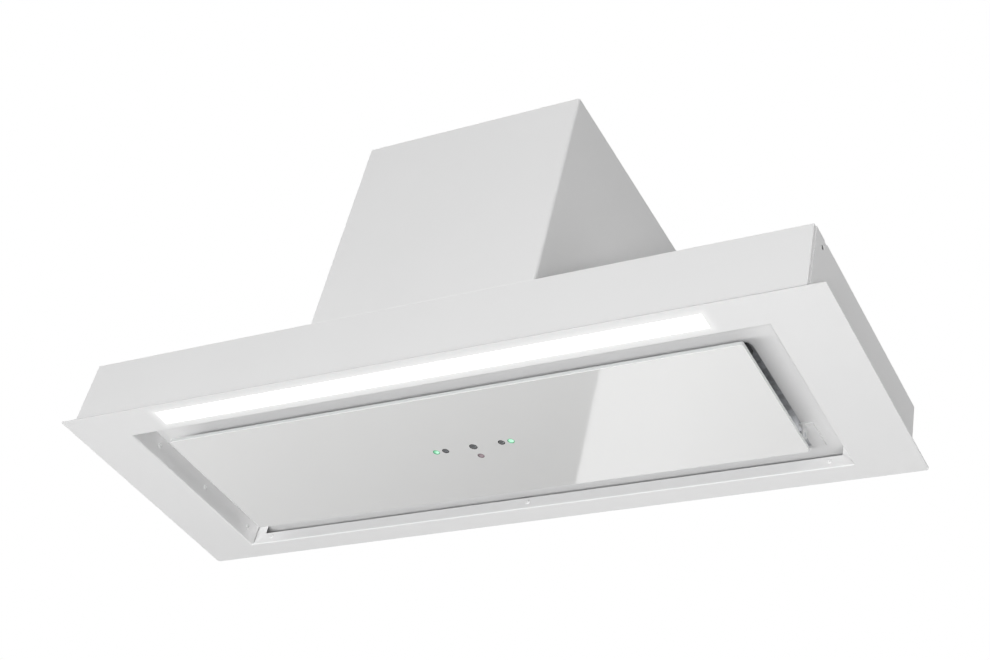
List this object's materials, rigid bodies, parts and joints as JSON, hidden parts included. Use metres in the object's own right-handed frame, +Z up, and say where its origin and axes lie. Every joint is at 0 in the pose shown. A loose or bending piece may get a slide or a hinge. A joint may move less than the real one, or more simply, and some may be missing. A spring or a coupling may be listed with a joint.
{
  "type": "built-in range hood",
  "caption": "White built-in range hood with a wide face panel, perimeter suction round a hinged glass panel, light strip and motor tower.",
  "frame": {"origin": "centre of the face panel's underside", "axes": "+X to the hood's right along its width, +Y from its front edge to its rear edge, +Z up towards the duct"},
  "size_m": [0.86, 0.282, 0.35],
  "materials": {
    "white_paint": "satin white paint",
    "zinc_steel": "zinc-coated",
    "moulding": "moulded",
    "dark_plastic": "moulded",
    "aluminium": "bare",
    "stator_steel": "laminated",
    "copper": "wound",
    "rubber": "moulded",
    "board": "circuit board",
    "light_board": "white",
    "diffuser": "opal",
    "white_glass": "polished, white behind",
    "dark_window": "tinted",
    "red_window": "tinted"
  },
  "bodies": {
    "housing": {"face_panel": "white_paint", "suction_tray": "white_paint", "body_front_sheet": "white_paint", "body_left_sheet": "white_paint", "body_right_sheet": "white_paint", "body_rear_sheet": "white_paint", "body_top_sheet": "white_paint", "tower_casing": "white_paint", "tower_rear_cover": "white_paint", "tower_top_plate": "white_paint", "ledge_frame": "zinc_steel", "recess_stiffener": "zinc_steel", "panel_rivets": "zinc_steel", "plenum_wall_left": "zinc_steel", "plenum_wall_right": "zinc_steel", "casing_screws": "zinc_steel", "flap_pin": "zinc_steel", "motor_bracket": "zinc_steel", "led_channel": "zinc_steel", "hinge_brackets": "zinc_steel", "outlet_collar": "moulding", "outlet_adapter": "moulding", "scroll_left": "moulding", "scroll_right": "moulding", "control_box": "dark_plastic", "control_lid": "dark_plastic", "cable_gland": "dark_plastic", "wiring_loom": "dark_plastic", "catch_bodies": "dark_plastic", "filter_frame_left": "aluminium", "filter_frame_right": "aluminium", "filter_mesh_left": "aluminium", "filter_mesh_right": "aluminium", "motor_caps": "aluminium", "capacitor": "aluminium", "motor_stator": "stator_steel", "catch_magnets": "stator_steel", "motor_windings": "copper", "motor_bearings": "copper", "motor_bushes": "rubber", "control_board": "board", "led_board": "light_board", "led_driver": "light_board", "led_diffuser": "diffuser"},
    "panel": {"glass_panel": "white_glass", "panel_frame": "zinc_steel", "hinge_arms": "zinc_steel", "hinge_pins": "zinc_steel", "strikers": "zinc_steel", "sensor_housing": "dark_plastic", "sensor_board": "board", "sensor_windows": "dark_window", "remote_window": "red_window"},
    "wheel": {"blower_wheel": "moulding", "wheel_nut": "zinc_steel", "motor_rotor": "zinc_steel"},
    "front_flap": {"flap_front": "dark_plastic"},
    "rear_flap": {"flap_rear": "dark_plastic"},
    "left_latch": {"filter_latch_left": "dark_plastic"},
    "right_latch": {"filter_latch_right": "dark_plastic"}
  },
  "joints": [
    {"name": "panel_hinge", "type": "hinge", "parent": "housing", "child": "panel", "pos_m": [0, 0.078, 0.014], "axis": [1, 0, 0], "range_deg": [0, 85]},
    {"name": "wheel_spin", "type": "hinge", "parent": "housing", "child": "wheel", "pos_m": [0, -0.02545, 0.167], "axis": [1, 0, 0], "continuous": true},
    {"name": "flap_front_hinge", "type": "hinge", "parent": "housing", "child": "front_flap", "pos_m": [0, 0.037, 0.3361], "axis": [-1, 0, 0], "range_deg": [0, 80]},
    {"name": "flap_rear_hinge", "type": "hinge", "parent": "housing", "child": "rear_flap", "pos_m": [0, 0.037, 0.3361], "axis": [1, 0, 0], "range_deg": [0, 80]},
    {"name": "latch_left", "type": "slide", "parent": "housing", "child": "left_latch", "axis": [0, 1, 0], "range_m": [0, 0.0065], "stiffness_N_per_m": 350},
    {"name": "latch_right", "type": "slide", "parent": "housing", "child": "right_latch", "axis": [0, 1, 0], "range_m": [0, 0.0065], "stiffness_N_per_m": 350}
  ]
}
